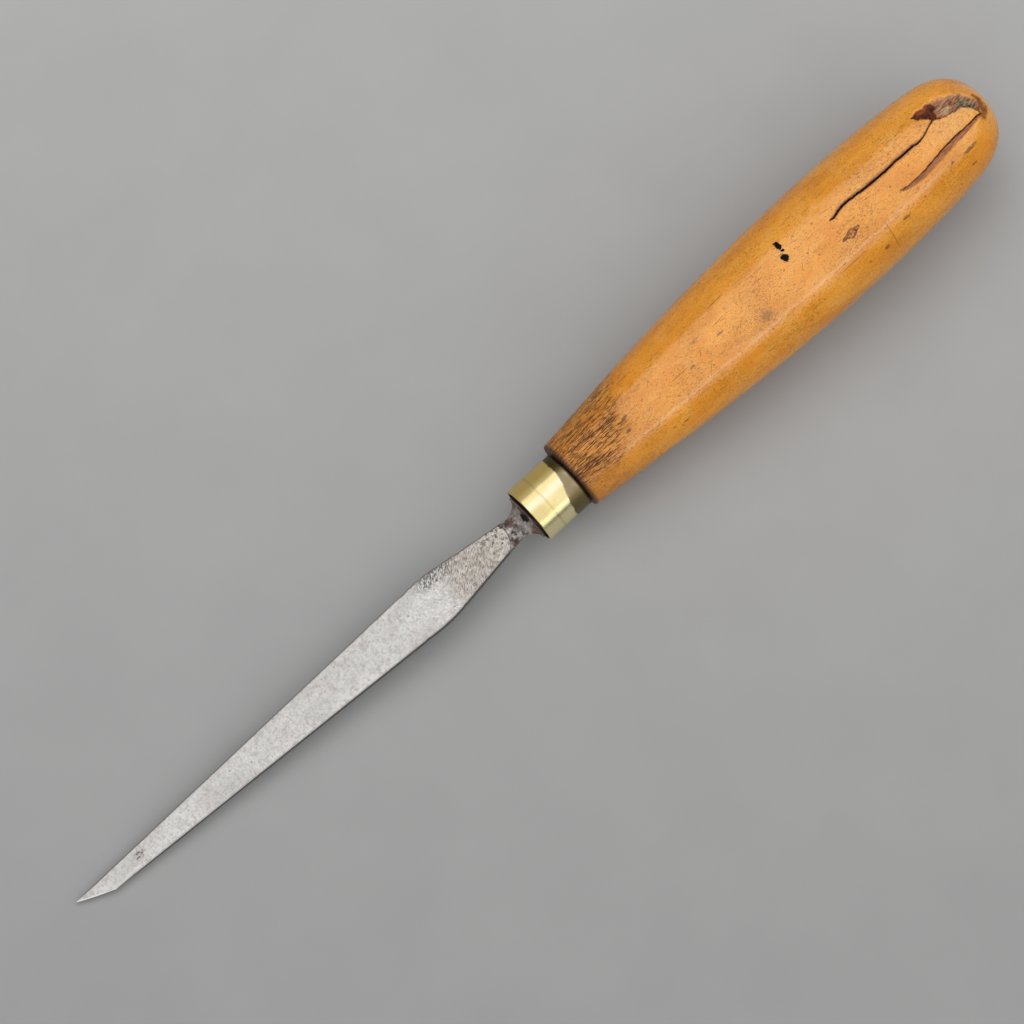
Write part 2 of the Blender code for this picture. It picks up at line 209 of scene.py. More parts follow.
# Camera, at the photograph's angle
CAMERA_AZIMUTH = math.radians(-42.54)
CAMERA_ELEVATION = math.radians(77.0)
CAMERA_DISTANCE = 0.7
CAMERA_SIDE = -0.00637
CAMERA_RISE = -0.00017
CAMERA_LENS = 113.6
CAMERA_SENSOR = 36.0
CAMERA_NEAR = 0.01

# Floor: half a side, the way painted light brightens its grey, and where that begins and ends
FLOOR_HALF = 40.0
FLOOR_WAY = (0.675, 0.738)
FLOOR_RUN = (-0.3, 0.3)

# Light: the middle of the bright sky and of its brightest part, each with the cosines and the light of its edge
SKY_MIDDLE = (0.0, -0.2, 0.98)
SKY_CAP = (0.42, 0.5, 0.22, 1.26)
SKY_BRIGHTEST = (0.2, 0.28, 0.94)
SKY_PATCH = (0.78, 0.98, 0.0, 0.16)
FILL_SHARE = 0.94
# Lamps: name, place, size, power, and whether it is only mirrored, for a thin line along the ferrule
LAMPS = (
    ("broad_lamp", (0.15, 0.45, 1.0), (0.5, 0.5), 1.5, False),
    ("slim_lamp", (0.02, -0.72, 0.42), (0.8, 0.07), 0.4, True),
)


def laid(points):
    """Points in millimetres on the tool's axes, turned by its slope, moved to its place and made metres."""
    x, y, z = np.moveaxis(points, -1, 0)
    cos, sin = math.cos(TOOL_SLOPE), math.sin(TOOL_SLOPE)
    return (np.stack([cos * x - sin * z, y, sin * x + cos * z], -1) + TOOL_PLACE) * MM


def hashed(cells, seed):
    """A number from 0 to 1 for each cell: its three whole numbers times large odd numbers, with the bits folded."""
    word = cells[..., 0] * 374761393 + cells[..., 1] * 668265263 + cells[..., 2] * 2246822519 + seed * 3266489917
    word = word.astype(np.uint64) & np.uint64(0xFFFFFFFF)
    word = (word ^ (word >> np.uint64(13))) * np.uint64(1274126177) & np.uint64(0xFFFFFFFF)
    return (word ^ (word >> np.uint64(16))) / 4294967295.0


def cloudy(points, size, seed):
    """Value noise from -1 to 1: random numbers on a lattice of that spacing, blended by 3t^2 - 2t^3."""
    at = points / np.asarray(size, float)
    cell = np.floor(at).astype(np.int64)
    part = at - cell
    part = part * part * (3 - 2 * part)
    total = np.zeros(points.shape[:-1])
    for corner in np.ndindex(2, 2, 2):
        share = np.where(np.array(corner) == 1, part, 1 - part).prod(-1)
        total += share * hashed(cell + np.array(corner), seed)
    return total * 2 - 1


def rumpled(points, layers, seed=0):
    """The sum of layers of value noise, each times its height, with the seed added to their own."""
    return sum(height * cloudy(points, size, own + seed) for height, size, own in layers)


def eased(value, low, high):
    """Zero below low, one above high, and 3t^2 - 2t^3 between them."""
    part = np.clip((value - low) / (high - low), 0, 1)
    return part * part * (3 - 2 * part)


def bezier(start, start_pull, end_pull, end, steps=400):
    """Points on a cubic Bezier curve, from the four Bernstein weights, its first point left out."""
    t = np.linspace(0, 1, steps + 1)[1:, None]
    knots = [np.array(knot, float) for knot in (start, start_pull, end_pull, end)]
    weights = ((1 - t) ** 3, 3 * t * (1 - t) ** 2, 3 * t * t * (1 - t), t**3)
    return sum(weight * knot for weight, knot in zip(weights, knots))


def columns(count, crowding=0.0):
    """Turns from the top, crowded towards it by a = v - c sin v, and the points (sin a, cos a) of their circle."""
    v = np.linspace(0, 2 * math.pi, count, endpoint=False)
    turn = v - crowding * np.sin(v)
    return turn, np.stack([np.sin(turn), np.cos(turn)], -1)


def skin(name, loops, masks, ring=False):
    """A closed mesh through loops of points, shape (loops, points, 3). Neighbouring loops are joined by quads.

    The first and last loop are closed by fans to their middles, or joined to each other where ring is true."""
    count, around = loops.shape[:2]
    index = np.arange(count * around).reshape(count, around)
    index = np.vstack([index, index[:1]]) if ring else index
    after = np.roll(index, -1, 1)
    quads = np.stack([index[:-1], index[1:], after[1:], after[:-1]], -1).reshape(-1, 4)
    points, faces = loops.reshape(-1, 3), quads.tolist()
    if not ring:
        points = np.vstack([points, loops[0].mean(0), loops[-1].mean(0)])
        faces += np.stack([index[0], after[0], np.full(around, count * around)], -1).tolist()
        faces += np.stack([after[-1], index[-1], np.full(around, count * around + 1)], -1).tolist()
    mesh = bpy.data.meshes.new(name)
    mesh.from_pydata(laid(points).tolist(), [], faces)
    mesh.validate()
    mesh.shade_smooth()
    for label, mask in masks.items():
        values = mask.reshape(-1)
        if not ring:
            values = np.concatenate([values, [mask[0].mean(), mask[-1].mean()]])
        mesh.attributes.new(label, "FLOAT", "POINT").data.foreach_set("value", values.astype(np.float32))
    piece = bpy.data.objects.new(name, mesh)
    bpy.context.scene.collection.objects.link(piece)
    return piece


# Handle


def barrel_curve():
    """The barrel's side as (place, radius): a rounded shoulder, a long swell, a fall to the butt and its round end."""
    start = (0.0, SHOULDER_RADIUS - SHOULDER_ROUND)
    corner = (SHOULDER_ROUND, SHOULDER_RADIUS + SHOULDER_ROUND * SHOULDER_SLOPE)
    third = (BELLY[0] - corner[0]) / 3
    fall = (BUTT[0] - BELLY[0]) / 3
    reach, crown = BUTT_PULLS
    swell = (corner[0] + third, corner[1] + third * SHOULDER_SLOPE)
    shoulder, end = (0.0, SHOULDER_RADIUS), (HANDLE_LENGTH, 0.0)
    return np.vstack(
        [
            [start],
            bezier(start, shoulder, shoulder, corner),
            bezier(corner, swell, (BELLY[0] - third, BELLY[1]), BELLY),
            bezier(BELLY, (BELLY[0] + fall, BELLY[1]), (BUTT[0] - fall, BUTT[1] + fall * BUTT_SLOPE), BUTT),
            bezier(BUTT, (BUTT[0] + reach, BUTT[1] - reach * BUTT_SLOPE), (HANDLE_LENGTH, crown), end),
        ]
    )


BARREL = barrel_curve()


def barrel_rows():
    """The barrel's side resampled: rows lie closer at the shoulder's round and over the cracked half."""
    place = (BARREL[1:, 0] + BARREL[:-1, 0]) / 2
    spacing = np.where(place > FINE_FROM, FINE_ROW, COARSE_ROW)
    spacing = np.where(place < SHOULDER_ROUND, SHOULDER_ROW, spacing)
    steps = np.concatenate([[0], np.cumsum(np.hypot(*np.diff(BARREL, axis=0).T) / spacing)])
    wanted = np.linspace(0, steps[-1], int(steps[-1]))[:-1]
    return np.stack([np.interp(wanted, steps, column) for column in BARREL.T], -1)


def barrel_points(place, turn):
    """Points of the barrel's side at these places along the axis and turns from the top."""
    radius = np.interp(place, *BARREL.T)
    return np.stack([place, radius * np.sin(turn) + BARREL_OFFSET, radius * np.cos(turn)], -1)


def on_barrel(marks):
    """Points of the barrel's side at marks that list a place and a turn in degrees to the left."""
    place, turn = np.array(marks, float).T
    return barrel_points(place, np.radians(turn))


def wandering(knots, sway, seed, steps=12):
    """A path on the barrel through places and turns, with points between them and a random sway in degrees."""
    knots = np.array(knots, float)
    at = np.linspace(0, len(knots) - 1, (len(knots) - 1) * steps + 1)
    path = np.stack([np.interp(at, np.arange(len(knots)), column) for column in knots.T], -1)
    path[:, 1] += sway * rumpled(np.pad(path[:, :1], ((0, 0), (0, 2))), SWAY, seed)
    return on_barrel(path)


def from_path(points, path):
    """For each point: its distance to the nearest stretch of the path, the share of the way there, and how far it
    lies to the left. The foot on a stretch is the dot product, held to its ends; left is outward times forward."""
    start, leg = path[:-1], np.diff(path, axis=0)
    offset = points[:, None, :] - start[None]
    share = np.clip((offset * leg).sum(-1) / (leg**2).sum(-1), 0, 1)
    gap = offset - share[..., None] * leg
    distance = np.linalg.norm(gap, axis=-1)
    nearest = distance.argmin(1)
    rows = np.arange(len(points))
    way = (nearest + share[rows, nearest]) / len(leg)
    outward = points * (0, 1, 1) - (0, BARREL_OFFSET, 0)
    left = np.cross(outward, leg[nearest])
    left /= np.maximum(np.linalg.norm(left, axis=-1, keepdims=True), 1e-9)
    return distance[rows, nearest], way, (gap[rows, nearest] * left).sum(-1)


def groove(points, path, widths, round_off=0.35):
    """One along the path, fading to zero at the half-width, which runs between the listed values along the way."""
    distance, way, _ = from_path(points, path)
    half = np.interp(way, np.linspace(0, 1, len(widths)), widths)
    return 1 - eased(distance, half * round_off, half)


def ledge(points, path, widths, wall):
    """One beside the path on its left, rising to it in a steep wall on its right and fading out over the width."""
    distance, way, side = from_path(points, path)
    reach = np.interp(way, np.linspace(0, 1, len(widths)), widths)
    ends = np.interp(way, (0, 0.04, 0.96, 1), (0, 1, 1, 0))
    return ends * np.where(side > 0, 1 - eased(distance, 0.25 * reach, reach), 1 - eased(distance, 0.0, wall))


def dinged(points):
    """Shallow round dings at random places on the barrel: each a smooth bowl of its own size and depth."""
    count, seed, places, sizes, depths = DINGS
    rng = np.random.default_rng(seed)
    place = rng.uniform(*places, count)
    turn = rng.uniform(-math.pi, math.pi, count)
    size = rng.uniform(*sizes, count)
    depth = rng.uniform(*depths, count)
    total = np.zeros(len(points))
    for centre, half, deep in zip(barrel_points(place, turn), size, depth):
        gap = (points - centre) * (0.6, 1.0, 1.0)
        total += deep * (1 - eased(np.linalg.norm(gap, axis=-1), 0.1 * half, half))
    return total


def make_handle():
    """The handle turned from its profile, then worked: cracks, a broken hollow, dents and an uneven surface.

    A point is (place, offset - lean + (r - loss) sin a, r cos a), where r is the profile's radius less the marks.
    The socket is square: its radius is half a side over the larger of |sin a| and |cos a|."""
    turn, side = columns(HANDLE_COLUMNS, TOP_CROWDING)
    rows = barrel_rows()
    radius = np.repeat(rows[:, 1:], HANDLE_COLUMNS, 1)
    place = np.repeat(rows[:, :1], HANDLE_COLUMNS, 1)
    barrel = np.concatenate([place[..., None], radius[..., None] * side], -1)
    barrel[..., 1] += BARREL_OFFSET
    flat = barrel.reshape(-1, 3)

    crack_path = wandering(CRACK, 0.25, 3)
    split_path = wandering(SPLIT, 0.25, 11)
    hollow_path = wandering(HOLLOW, 0.4, 8)
    near_butt = flat[:, 0] > CUTS_FROM
    torn_flat = flat + np.stack([rumpled(flat, TEAR, seed) for seed in range(3)], -1)

    def cut(shape, *values, points=flat):
        """A mask worked out only over the cracked half, where all of these marks are."""
        mask = np.zeros(len(flat))
        mask[near_butt] = shape(points[near_butt], *values)
        return mask

    crack = cut(groove, crack_path, CRACK_WIDTHS)
    split = cut(groove, split_path, SPLIT_WIDTHS)
    furrow = cut(ledge, split_path[::-1], FURROW_WIDTHS, 0.2)
    chip = np.maximum(*[cut(groove, on_barrel(arm), CHIP_WIDTHS, 0.6, points=torn_flat) for arm in CHIP])
    hollow = cut(ledge, hollow_path, HOLLOW_WIDTHS, 0.22, points=torn_flat)
    dent = cut(groove, on_barrel(DENT), DENT_WIDTHS, 0.2, points=(flat + torn_flat) / 2)
    # halo: a band beside the crack and the hollow's brink that raises a low lip and carries painted shade
    halo = cut(groove, crack_path, np.array(CRACK_WIDTHS) * CRACK_HALO, 0.05)
    halo = np.maximum(halo, cut(groove, hollow_path, BRINK_HALO, 0.1))
    blush = cut(groove, on_barrel(BLUSH), BLUSH_WIDTHS, 0.0, points=torn_flat)
    stain = groove(flat, on_barrel(STAIN), STAIN_WIDTHS, 0.1)
    stain = np.maximum(stain, groove(flat, on_barrel(STREAK), STREAK_WIDTHS, 0.1))

    cuts = {"crack": crack, "chip": chip, "hollow": hollow, "split": split, "furrow": furrow, "dent": dent}
    sunk = sum(depth * cuts[label] for label, depth in DEPTHS.items()) - LIP_HEIGHT * halo * (1 - crack)
    ragged = rumpled(flat, TORN) * np.maximum(chip, hollow)
    shape_in = (sunk + ragged + rumpled(flat, UNEVEN) + dinged(flat)).reshape(radius.shape)
    radius = np.maximum(radius - shape_in * eased(radius, 0.0, 2.5), 0.02)
    stops, *wear = np.array(BARREL_WEAR, float).T
    loss, lean = (np.interp(place, stops, values) for values in wear)
    barrel[..., 1:] = radius[..., None] * side
    barrel[..., 1] += BARREL_OFFSET - lean - loss * np.sin(turn)
    # flat is a view of barrel and holds the worked points by now: the brink fades where the wood is torn away
    brink = cut(groove, hollow_path, BRINK_WIDTHS)

    square = 1 / abs(side).max(-1)
    inner = (
        (SOCKET_END[0], SOCKET_END[1] * square),
        (WOOD_END, SOCKET_MOUTH * square),
        (WOOD_END, SPIGOT_RADIUS - SPIGOT_CHAMFER),
        (WOOD_END + SPIGOT_CHAMFER, SPIGOT_RADIUS),
        (0.0, SPIGOT_RADIUS),
    )
    inside = np.stack([np.column_stack([np.full_like(turn, x), (side.T * r).T]) for x, r in inner])
    masks = {"crack": np.maximum.reduce([crack, split, brink]), "halo": halo, "chip": chip, "hollow": hollow}
    masks |= {"blush": blush, "furrow": furrow, "dent": dent, "stain": stain}
    bare = np.zeros((len(inner), HANDLE_COLUMNS))
    masks = {label: np.concatenate([bare, mask.reshape(radius.shape)]) for label, mask in masks.items()}
    return skin("handle_wood", np.concatenate([inside, barrel]), masks)


# Ferrule


def make_ferrule(rim_steps=7, wall_steps=40, bore_steps=12):
    """The ferrule: a closed profile of two walls and four quarter-round rims, turned about the axis.

    Rims are arcs of a circle. The outside is a little out of round and wavy, by noise of a few hundredths."""
    arc = np.linspace(0, math.pi / 2, rim_steps)[:, None]
    along, out = FERRULE_EDGE * np.cos(arc), FERRULE_EDGE * np.sin(arc)
    mouth, back = FERRULE_MOUTH + FERRULE_EDGE, FERRULE_REAR - FERRULE_EDGE
    outer, inner = FERRULE_RADIUS - FERRULE_EDGE, FERRULE_BORE + FERRULE_EDGE
    front = np.hstack([mouth - along, outer + out])
    rear = np.hstack([back + out, outer + along])
    rear_in = np.hstack([back + along, inner - out])
    front_in = np.hstack([mouth - out, inner - along])
    wall = np.linspace(front[-1], rear[0], wall_steps)[1:-1]
    bore = np.linspace(rear_in[-1], front_in[0], bore_steps)[1:-1]
    profile = np.vstack([front, wall, rear, rear_in, bore, front_in])
    _, side = columns(FERRULE_COLUMNS)
    place = np.repeat(profile[:, :1], FERRULE_COLUMNS, 1)
    points = np.concatenate([place[..., None], profile[:, 1, None, None] * side], -1)
    outside = eased(profile[:, 1], FERRULE_BORE + BORE_FADE, FERRULE_RADIUS)[:, None]
    points[..., 1:] += (outside * rumpled(points, FERRULE_WAVES))[..., None] * side
    # inside marks the bore, which the brass darkens with painted shade
    inside = np.repeat(1 - outside, FERRULE_COLUMNS, 1)
    return skin("ferrule_brass", points, {"inside": inside}, ring=True)


# Blade


def loop_marks(flat_steps=44, corner_steps=6, side_steps=6):
    """A rounded rectangle's loop from the middle of the top, to the left and round underneath.

    Each mark holds its share of the straight half-sides (across, up) and its direction on the corner's circle."""
    run = np.linspace(0, 1, flat_steps // 2 + 1)
    arc = np.linspace(0, math.pi / 2, corner_steps + 1)
    drop = np.linspace(1, -1, side_steps + 1)

    def marks(across, up, sideways, upward):
        """Marks of one stretch, its last left out because the next stretch begins there."""
        return np.stack(np.broadcast_arrays(across, up, sideways, upward), -1)[:-1]

    top = marks(run, 1.0, 0.0, 1.0)
    corner_top = marks(1.0, 1.0, np.sin(arc), np.cos(arc))
    left = marks(1.0, drop, 1.0, 0.0)
    corner_low = marks(1.0, -1.0, np.cos(arc), -np.sin(arc))
    low = marks(run[::-1], -1.0, 0.0, -1.0)
    half = np.vstack([top, corner_top, left, corner_low, low])
    return np.vstack([half, -half])


def blade_half(place, side):
    """Half the flat's width: an even taper from shoulder to point, another to the neck, met by a rounded corner."""
    taper = (BLADE_HALF - END_HALF) / (BLADE_SHOULDER - HEEL)
    back = (BLADE_HALF - FLAT_END_HALF) / (FLAT_END - BLADE_SHOULDER)
    away = place - BLADE_SHOULDER
    bend = (taper + back) / (4 * SHOULDER_BEND) * np.clip(SHOULDER_BEND - abs(away), 0, None) ** 2
    spacing, least, depth, seed = NICKS
    noise = cloudy(np.stack([place, side * SIDES_APART + 0 * place, 0 * place], -1), spacing, seed)
    nick = np.clip(noise - least, 0, 1) * depth * eased(place, *NICKS_BEGIN) * (1 - eased(place, *NICKS_END))
    return BLADE_HALF + np.where(away < 0, taper * away, -back * away) - bend - nick


def thickness(place):
    """The forging's thickness: an even taper from the end of the flats to the point."""
    return POINT_THICKNESS + (ROOT_THICKNESS - POINT_THICKNESS) * (place - POINT) / (FLAT_END - POINT)


def flat_loops(marks, rows=380):
    """The flat: loops that start along the skew edge and end along the rounded end beside the neck.

    A point's place runs evenly between those two lines. The underside rises to the edge by the grinding angle."""
    share = np.linspace(0, 1, rows)[:, None]
    across, up, sideways, upward = marks.T
    middle = EDGE_MIDDLE + (FLAT_END - EDGE_MIDDLE) * share
    depth = np.minimum(thickness(middle), EDGE_LAND + GRIND * SKEW_LEAN * (middle - EDGE_MIDDLE)) / 2
    corner = np.minimum(EDGE_ROUND, THIN_ROUND * depth)
    half = blade_half(middle, 0.0)
    lateral = across * (1 - corner / half) + sideways * corner / half
    height = up * (1 - corner / depth) + upward * corner / depth
    skew = EDGE_MIDDLE - (HEEL - POINT) / 2 * lateral - EDGE_BOW * (1 - lateral**2)
    bulge = np.sqrt(np.clip(1 - FLAT_END_ROUND * lateral**2, 0, 1))
    end = FLAT_END - FLAT_END_CROWN * (1 - bulge) + FLAT_END_LEAN * lateral
    place = skew + (end - skew) * share
    full = thickness(place)
    depth = np.minimum(full, EDGE_LAND + GRIND * SKEW_LEAN * (place - skew))
    z = full / 2 - depth / 2 + height * depth / 2
    points = np.stack([place, lateral * blade_half(place, np.sign(lateral)), z], -1)
    away = FLAT_END - place
    points[..., 0] += points[..., 1] * math.sin(BLADE_CANT) * np.clip(away / CANT_RUN, 0, 1)
    points[..., 1] += BLADE_SHIFT * np.clip(away / SHIFT_RUN, 0, 1) + away * math.tan(BLADE_CANT)
    points[..., 2] += rumpled(points, BLADE_WAVES) * np.clip(depth, 0, 1)
    rim = np.broadcast_to((abs(across) == 1) & (abs(up) == 1), place.shape)
    # flank marks the side faces, which the steel darkens as painted shade over patina
    flank = np.broadcast_to(abs(sideways) > 0.9, place.shape)
    honed = (1 - eased(place - skew, *HONED)) * (up > 0)
    return points, {"rim": rim.astype(float), "flank": flank.astype(float), "honed": honed}


def rounded_loop(marks, place, wide, high, share):
    """A rounded rectangle across the axis: its straight half-sides' shares plus the corner's circle, whose radius is
    a share of the smaller half-side."""
    across, up, sideways, upward = marks.T
    corner = share * min(wide, high)
    y, z = across * (wide - corner) + sideways * corner, up * (high - corner) + upward * corner
    return np.column_stack([np.full(len(marks), place), y, z])


def neck_loops(marks, start_loop, flare_steps=32):
    """The neck: a step down round the flat's end, a drawn-down oval, a quarter-ellipse flare, bolster and tang.

    Half-width and half-height run along the axis, and the corner's circle grows until the loop is round."""
    _, up, _, _ = marks.T
    loops = []
    for reach, drop in STEP_DOWN:
        loop = start_loop.copy()
        loop[:, 0] += reach
        loop[:, 2] -= drop * np.sign(loop[:, 2]) * eased(abs(up), 0.2, 1.0)
        loops.append(loop)
    steps = eased(np.linspace(0, 1, 9)[1:], -0.3, 1.3)
    steps = (steps - steps[0]) / (steps[-1] - steps[0])
    first, last = loops[-1], rounded_loop(marks, FLARE_START, NECK_HALF, NECK_RISE, NECK_ROUND)
    loops += [first + (last - first) * step for step in steps[1:]]
    for turn in np.linspace(0, math.pi / 2, flare_steps)[1:]:
        wide, high = (BOLSTER_RADIUS - (BOLSTER_RADIUS - neck) * math.cos(turn) for neck in (NECK_HALF, NECK_RISE))
        place = FLARE_START + (FLARE_END - FLARE_START) * math.sin(turn)
        loops.append(rounded_loop(marks, place, wide, high, NECK_ROUND))
    for place, half, share in (
        (FLARE_END + BOLSTER_LAND, BOLSTER_RADIUS, NECK_ROUND),
        (BOLSTER_SEAT - BOLSTER_EDGE, BOLSTER_RADIUS, NECK_ROUND),
        (BOLSTER_SEAT, BOLSTER_RADIUS - BOLSTER_EDGE, NECK_ROUND),
        (BOLSTER_SEAT, TANG_ROOT + BOLSTER_EDGE, 2 * TANG_ROUND),
        (BOLSTER_SEAT + BOLSTER_EDGE, TANG_ROOT, TANG_ROUND),
        (TANG_END, TANG_TIP, TANG_ROUND),
    ):
        loops.append(rounded_loop(marks, place, half, half, share))
    points = np.stack(loops)
    forged = eased(points[..., 0], *FORGED) * (1 - eased(points[..., 0], *FORGED_END))
    outward = points[..., 1:] / np.maximum(np.linalg.norm(points[..., 1:], axis=-1, keepdims=True), 0.1)
    points[..., 1:] += outward * (rumpled(points, HAMMERED) * forged)[..., None]
    return points


def make_blade():
    """The forging from its skew edge to the end of its tang: one run of rounded-rectangle loops along the axis."""
    marks = loop_marks()
    flat, masks = flat_loops(marks)
    neck = neck_loops(marks, flat[-1])
    bare = np.zeros(neck.shape[:2])
    masks = {label: np.concatenate([mask, bare]) for label, mask in masks.items()}
    masks["forged"] = np.concatenate([np.zeros(flat.shape[:2]), bare + 1])
    return skin("blade_steel", np.concatenate([flat, neck]), masks)


# Materials


class Value:
    """What a node gives. The signs +, -, * and abs make Math nodes, and | gives the stronger of two masks."""

    def __init__(self, n, socket):
        self.n, self.socket = n, socket

    def __add__(self, other):
        return self.n.maths("ADD", self, other)

    def __sub__(self, other):
        return self.n.maths("SUBTRACT", self, other)

    def __mul__(self, other):
        return self.n.maths("MULTIPLY", self, other)

    def __or__(self, other):
        return self.n.maths("MAXIMUM", self, other)

    def __abs__(self):
        return self.n.maths("ABSOLUTE", self)

    def ramp(self, low, high, start=0.0, end=1.0):
        """A smooth step of the value between two limits."""
        limits = {"Value": self, "From Min": low, "From Max": high, "To Min": start, "To Max": end}
        return self.n.value("ShaderNodeMapRange", 0, limits, interpolation_type="SMOOTHSTEP")


class Shading:
    """A node tree that grows by short calls, and the colour painted in it so far."""

    def __init__(self, tree):
        self.tree = tree
        self.colour = None

    def fill(self, node, inputs):
        """Links a node's inputs to values of other nodes, or sets them to numbers."""
        for key, value in dict(inputs).items():
            if isinstance(value, Value):
                self.tree.links.new(value.socket, node.inputs[key])
            else:
                node.inputs[key].default_value = value

    def put(self, kind, inputs=(), **settings):
        """A new node with its settings and inputs."""
        node = self.tree.nodes.new(kind)
        for name, value in settings.items():
            setattr(node, name, value)
        self.fill(node, inputs)
        return node

    def value(self, kind, output, inputs=(), **settings):
        """One value that a new node gives."""
        return Value(self, self.put(kind, inputs, **settings).outputs[output])

    def maths(self, operation, *values):
        return self.value("ShaderNodeMath", 0, enumerate(values), operation=operation)

    def vectors(self, operation, *values, output=0):
        return self.value("ShaderNodeVectorMath", output, enumerate(values), operation=operation)

    def any_of(self, first, *others):
        """The strongest of several masks."""
        for other in others:
            first = first | other
        return first

    def axes(self, vector):
        return [Value(self, axis) for axis in self.put("ShaderNodeSeparateXYZ", {0: vector}).outputs]

    def joined(self, *values):
        return self.value("ShaderNodeCombineXYZ", 0, enumerate(values))

    def mixed(self, share, first, second):
        """Two colours mixed. Tones are red, green and blue."""
        first, second = ((*tone, 1) if isinstance(tone, tuple) else tone for tone in (first, second))
        return self.value("ShaderNodeMix", 2, {0: share, 6: first, 7: second}, data_type="RGBA")

    def paint(self, share, tone):
        """Lays a tone over the colour so far."""
        self.colour = self.mixed(share, self.colour, tone)

    def stretched(self, vector, scale, shift=(0, 0, 0), turn=0.0):
        """Coordinates scaled by one number, or by one along and others across, then turned and moved."""
        scale = (*scale, scale[-1])[:3] if isinstance(scale, tuple) else (scale, scale, scale)
        return self.framed(vector, shift, (0, 0, turn), scale, "POINT")

    def framed(self, vector, place=(0, 0, 0), turn=(0, 0, 0), size=(1, 1, 1), kind="TEXTURE"):
        """Coordinates seen on axes at a place, turned and drawn out to a size."""
        inputs = {"Vector": vector, "Location": place, "Rotation": turn, "Scale": size}
        return self.value("ShaderNodeMapping", 0, inputs, vector_type=kind)

    def noise(self, vector, scale, detail=3.0, rough=0.55, shift=(0, 0, 0), turn=0.0, bent=0.0):
        """A noise texture's value."""
        vector = self.stretched(vector, scale, shift, turn)
        inputs = {"Vector": vector, "Scale": 1.0, "Detail": detail, "Roughness": rough, "Distortion": bent}
        return self.value("ShaderNodeTexNoise", 0, inputs)

    def nudged(self, value, vector, scale, amount, shift=(0, 0, 0), detail=3.0):
        """A value pushed up and down by noise."""
        return value + (self.noise(vector, scale, detail, shift=shift) - 0.5) * amount

    def attributes(self, *names):
        """Masks that the piece's mesh carries."""
        return [self.value("ShaderNodeAttribute", "Fac", attribute_name=name) for name in names]

    def grouped(self, group, inputs):
        """The mask that a node group gives."""
        return self.value("ShaderNodeGroup", 0, inputs, node_tree=group)

    def spots(self, vector, ragged, soft, *marks):
        """The mask of ragged marks, each at a place in millimetres along and around the piece, with half-sizes."""
        given = {"Vector": vector, "Ragged": ragged, "Soft": soft}
        places = [{"Place": (x, y, 0), "Size": (wide, high, 1)} for x, y, wide, high in marks]
        return self.any_of(*[self.grouped(SPOT, given | place) for place in places])

    def flecks(self, vector, radius, share):
        return self.grouped(FLECKS, {"Vector": vector, "Radius": radius, "Share": share})

    def dashes(self, vector, turn, length, width, share, shift=(0, 0, 0)):
        """The mask of straight dashes: flecks on a lattice that is turned and drawn out."""
        return self.flecks(self.framed(vector, shift, (0, 0, turn), (length, width, 1.0)), DASH_RADIUS, share)

    def tool_coordinates(self):
        """Object coordinates brought to millimetres on the tool's own axes."""
        place = self.value("ShaderNodeTexCoord", "Object")
        return self.framed(place, [value * MM for value in TOOL_PLACE], (0, -TOOL_SLOPE, 0), (MM, MM, MM))

    def around_axis(self, vector, offset, radius):
        """Coordinates along the axis and around it, by turn times radius: as a vector, and each."""
        x, y, z = self.axes(vector)
        arc = self.maths("ARCTAN2", y - offset, z) * radius
        return self.joined(x, arc), x, arc

    def finish(self, rough, height, depth, metal, others=()):
        """Fills the Principled shader: colour, roughness, a bump of that depth in metres, metal and other inputs."""
        bump = self.value("ShaderNodeBump", 0, {"Strength": 1.0, "Distance": depth, "Height": height})
        inputs = {"Base Color": self.colour, "Roughness": rough, "Normal": bump, "Metallic": metal}
        self.fill(self.tree.nodes["Principled BSDF"], inputs | dict(others))


def new_material(name):
    """A material and its shading."""
    material = bpy.data.materials.new(name)
    material.use_nodes = True
    return material, Shading(material.node_tree)


def new_group(name, *inputs):
    """A shader node group with named inputs and a mask as its output: its shading, its inputs and its end node."""
    group = bpy.data.node_groups.new(name, "ShaderNodeTree")
    for label in inputs:
        kind = "NodeSocketVector" if label in ("Vector", "Place", "Size") else "NodeSocketFloat"
        group.interface.new_socket(label, in_out="INPUT", socket_type=kind)
    group.interface.new_socket("Mask", in_out="OUTPUT", socket_type="NodeSocketFloat")
    n = Shading(group)
    entry = group.nodes.new("NodeGroupInput")
    given = [Value(n, entry.outputs[label]) for label in inputs]
    return n, given, group.nodes.new("NodeGroupOutput")


def spot_group():
    """One ragged mark: an ellipse at a place, its edge pushed about by noise and blurred by its softness."""
    n, given, result = new_group("ragged_spot", "Vector", "Place", "Size", "Ragged", "Soft")
    vector, place, size, ragged, soft = given
    scaled = n.vectors("DIVIDE", n.vectors("SUBTRACT", vector, place), size)
    distance = n.vectors("LENGTH", n.vectors("MULTIPLY", scaled, (1, 1, 0)), output=1)
    edge = distance + (n.noise(vector, 1.5, 5.0, 0.7) - 0.5) * ragged
    n.fill(result, {"Mask": edge.ramp(soft + 1.0, n.maths("SUBTRACT", 1.0, soft))})
    return n.tree


def fleck_group():
    """Short flecks: one blob in each cell of a stretched lattice, left out where the cell's own number is high."""
    n, (vector, radius, share), result = new_group("short_flecks", "Vector", "Radius", "Share")
    cells = n.put("ShaderNodeTexVoronoi", {"Vector": vector, "Scale": 1.0, "Randomness": 0.95})
    distance, tone = (Value(n, cells.outputs[name]) for name in ("Distance", "Color"))
    chance, bulk, _ = n.axes(tone)
    size = radius * (bulk * 0.8 + 0.45)
    blob = distance.ramp(size, size * 0.55)
    n.fill(result, {"Mask": blob * n.maths("LESS_THAN", chance, share)})
    return n.tree


SPOT = spot_group()
FLECKS = fleck_group()


